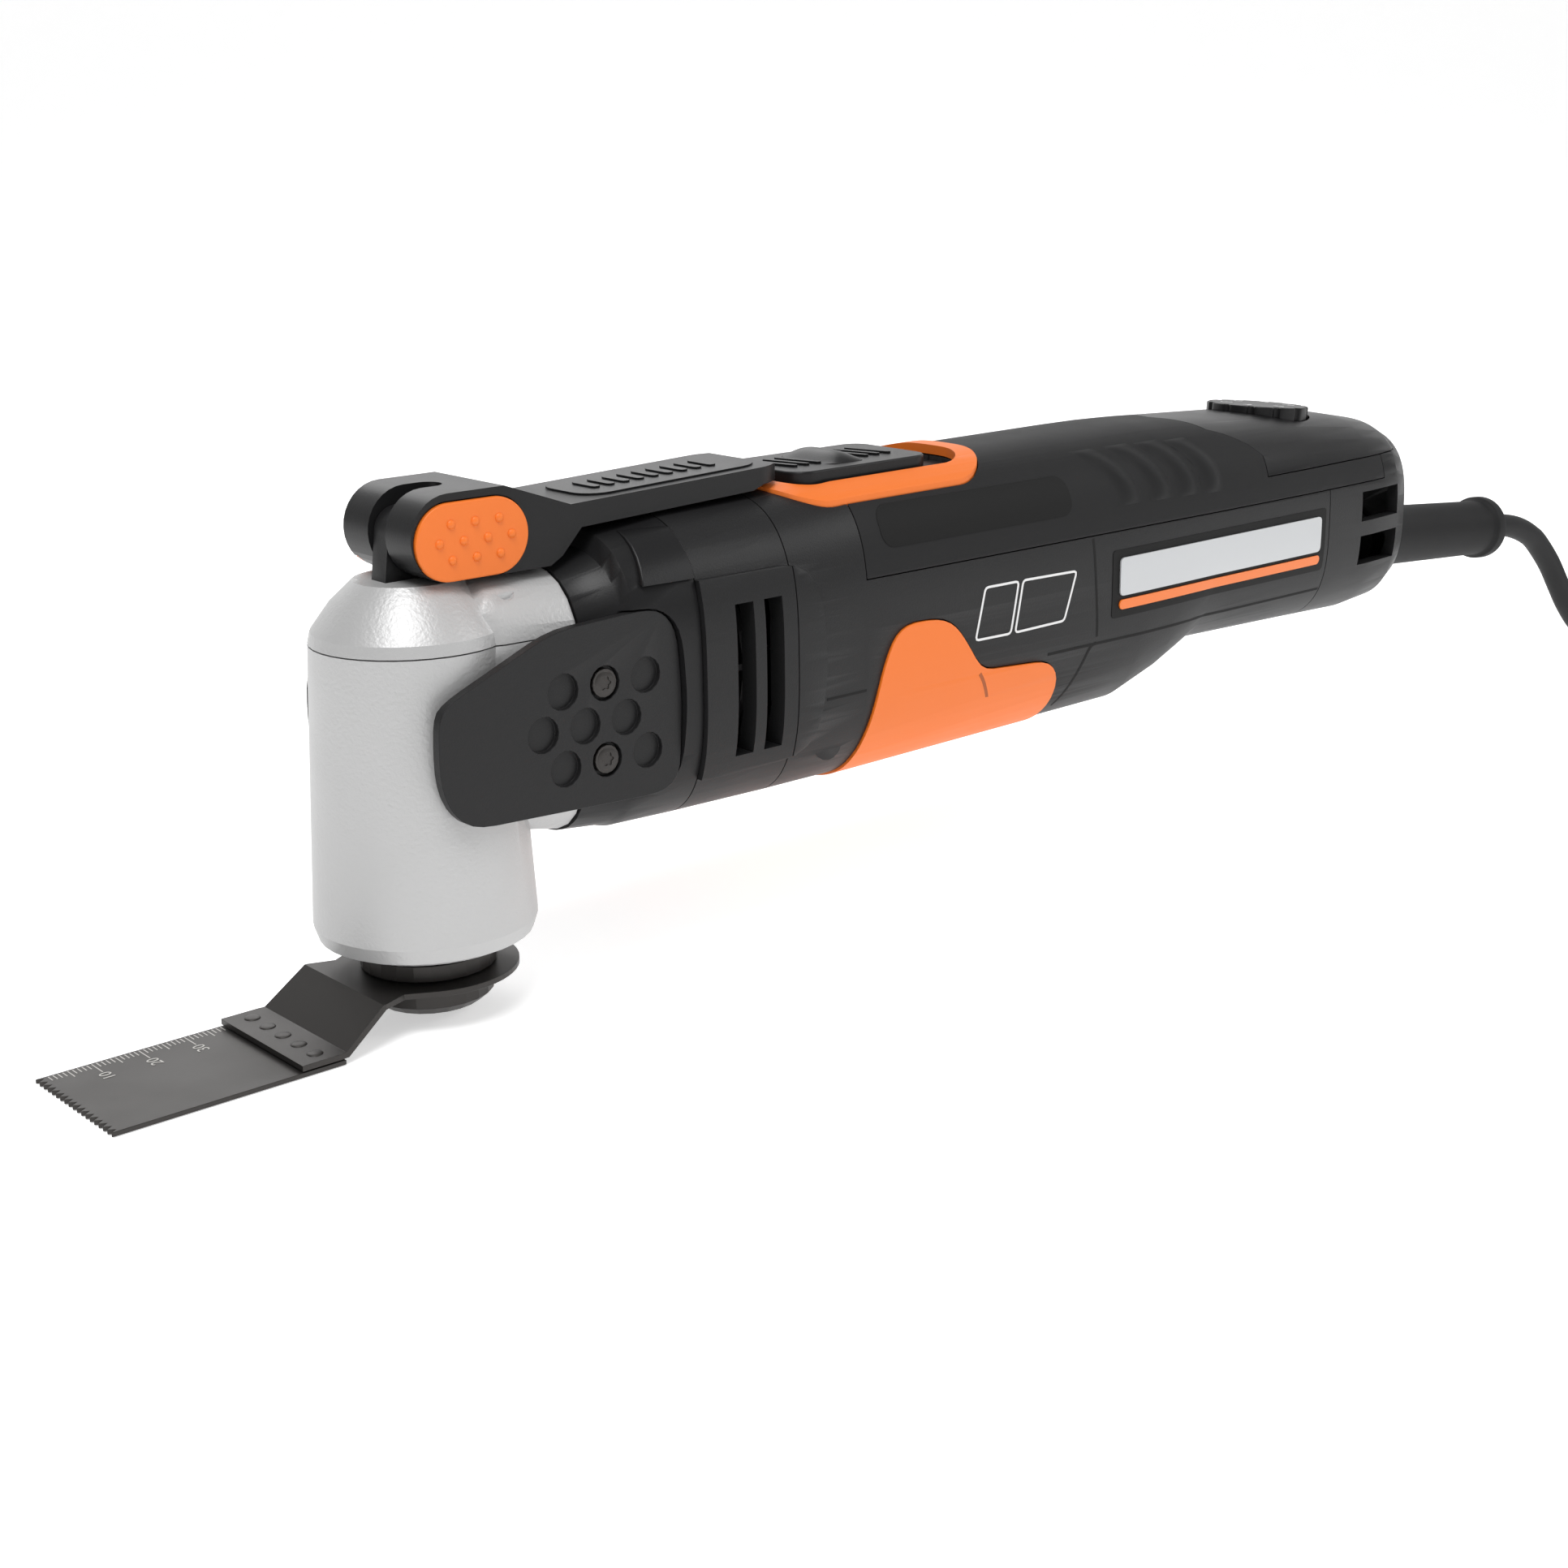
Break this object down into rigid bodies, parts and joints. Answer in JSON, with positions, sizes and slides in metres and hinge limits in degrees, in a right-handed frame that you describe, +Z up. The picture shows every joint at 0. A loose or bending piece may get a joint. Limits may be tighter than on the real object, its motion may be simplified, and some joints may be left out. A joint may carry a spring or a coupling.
{
  "type": "corded oscillating multi tool",
  "caption": "Corded oscillating multi tool with an upright silver gear head, quick-release lever, cranked saw blade, slide switch, speed dial, and a mains lead folded in a tied hank.",
  "frame": {"origin": "centre of the tool's footprint, without its lead, in the plane of the saw blade's underside", "axes": "+X along the tool from the blade to the lead, +Z up along the spindle, +Y to the tool's left"},
  "size_m": [0.7641, 0.0668, 0.1089],
  "materials": {
    "casting": "fine cast texture, satin, light grey",
    "black_plastic": "charcoal, fine spark-eroded grain",
    "soft_black": "matt soft-touch elastomer",
    "orange_plastic": "orange, matt",
    "steel": "ground",
    "dark_steel": "blackened spring steel",
    "copper": "lacquered winding",
    "carbon": "pressed carbon",
    "circuit_board": "green laminate",
    "pin_brass": "bright"
  },
  "bodies": {
    "housing": {"gear_housing": "casting", "gear_housing_cap": "casting", "side_guard_left": "black_plastic", "side_guard_right": "black_plastic", "front_collar": "black_plastic", "vent_ring": "black_plastic", "dial_cover": "black_plastic", "housing_left": "black_plastic", "housing_right": "black_plastic", "rear_cover": "black_plastic", "brush_holder_left": "black_plastic", "brush_holder_right": "black_plastic", "switch_module": "black_plastic", "plug_body": "black_plastic", "soft_grip": "soft_black", "cord_boot": "soft_black", "cord_tie": "soft_black", "cord_lead": "soft_black", "cord_tail": "soft_black", "cord_hank": "soft_black", "switch_ring": "orange_plastic", "belly_pad_left": "orange_plastic", "belly_pad_right": "orange_plastic", "lower_spindle_bearing": "steel", "upper_spindle_bearing": "steel", "stator_core": "steel", "front_motor_bearing": "steel", "rear_motor_bearing": "steel", "lever_pin": "steel", "side_guard_screw_left_lower": "dark_steel", "side_guard_screw_right_lower": "dark_steel", "side_guard_screw_left_upper": "dark_steel", "side_guard_screw_right_upper": "dark_steel", "housing_screw_front": "dark_steel", "housing_screw_rear": "dark_steel", "field_coil_upper": "copper", "field_coil_lower": "copper", "carbon_brush_left": "carbon", "carbon_brush_right": "carbon", "speed_control_board": "circuit_board", "plug_pin_left": "pin_brass", "plug_pin_right": "pin_brass"},
    "rotor": {"motor_shaft": "steel", "eccentric_bearing": "steel", "armature": "copper", "commutator": "copper", "fan": "black_plastic"},
    "spindle": {"spindle": "steel", "oscillating_fork": "steel", "tool_holder": "dark_steel", "blade_mount": "dark_steel", "saw_blade": "dark_steel"},
    "clamp": {"clamp_rod": "steel", "clamp_flange": "dark_steel", "clamp_spring": "steel"},
    "lever": {"lever": "black_plastic", "lever_pad_left": "orange_plastic", "lever_pad_right": "orange_plastic"},
    "slide_switch": {"slide_switch": "black_plastic"},
    "speed_dial": {"speed_dial": "black_plastic"}
  },
  "joints": [
    {"name": "rotor_spin", "type": "hinge", "parent": "housing", "child": "rotor", "pos_m": [0, 0, 0.064], "axis": [1, 0, 0], "continuous": true},
    {"name": "spindle_oscillation", "type": "hinge", "parent": "housing", "child": "spindle", "pos_m": [-0.15171, 0, 0], "axis": [0, 0, 1], "range_deg": [-1.6, 1.6]},
    {"name": "clamp_release", "type": "slide", "parent": "spindle", "child": "clamp", "axis": [0, 0, 1], "range_m": [-0.0016, 0], "deforming": ["clamp_spring"]},
    {"name": "lever_pivot", "type": "hinge", "parent": "housing", "child": "lever", "pos_m": [-0.15171, 0, 0.1001], "axis": [0, -1, 0], "range_deg": [0, 110]},
    {"name": "switch_slide", "type": "slide", "parent": "housing", "child": "slide_switch", "axis": [1, 0, 0], "range_m": [0, 0.008]},
    {"name": "dial_turn", "type": "hinge", "parent": "housing", "child": "speed_dial", "pos_m": [0.11829, 0, 0.1], "axis": [0.0872, 0, 0.9962], "range_deg": [-140, 140]}
  ],
  "couplings": [
    {"joint": "clamp_release", "follows": "lever_pivot", "m_per_rad": -0.00083}
  ]
}
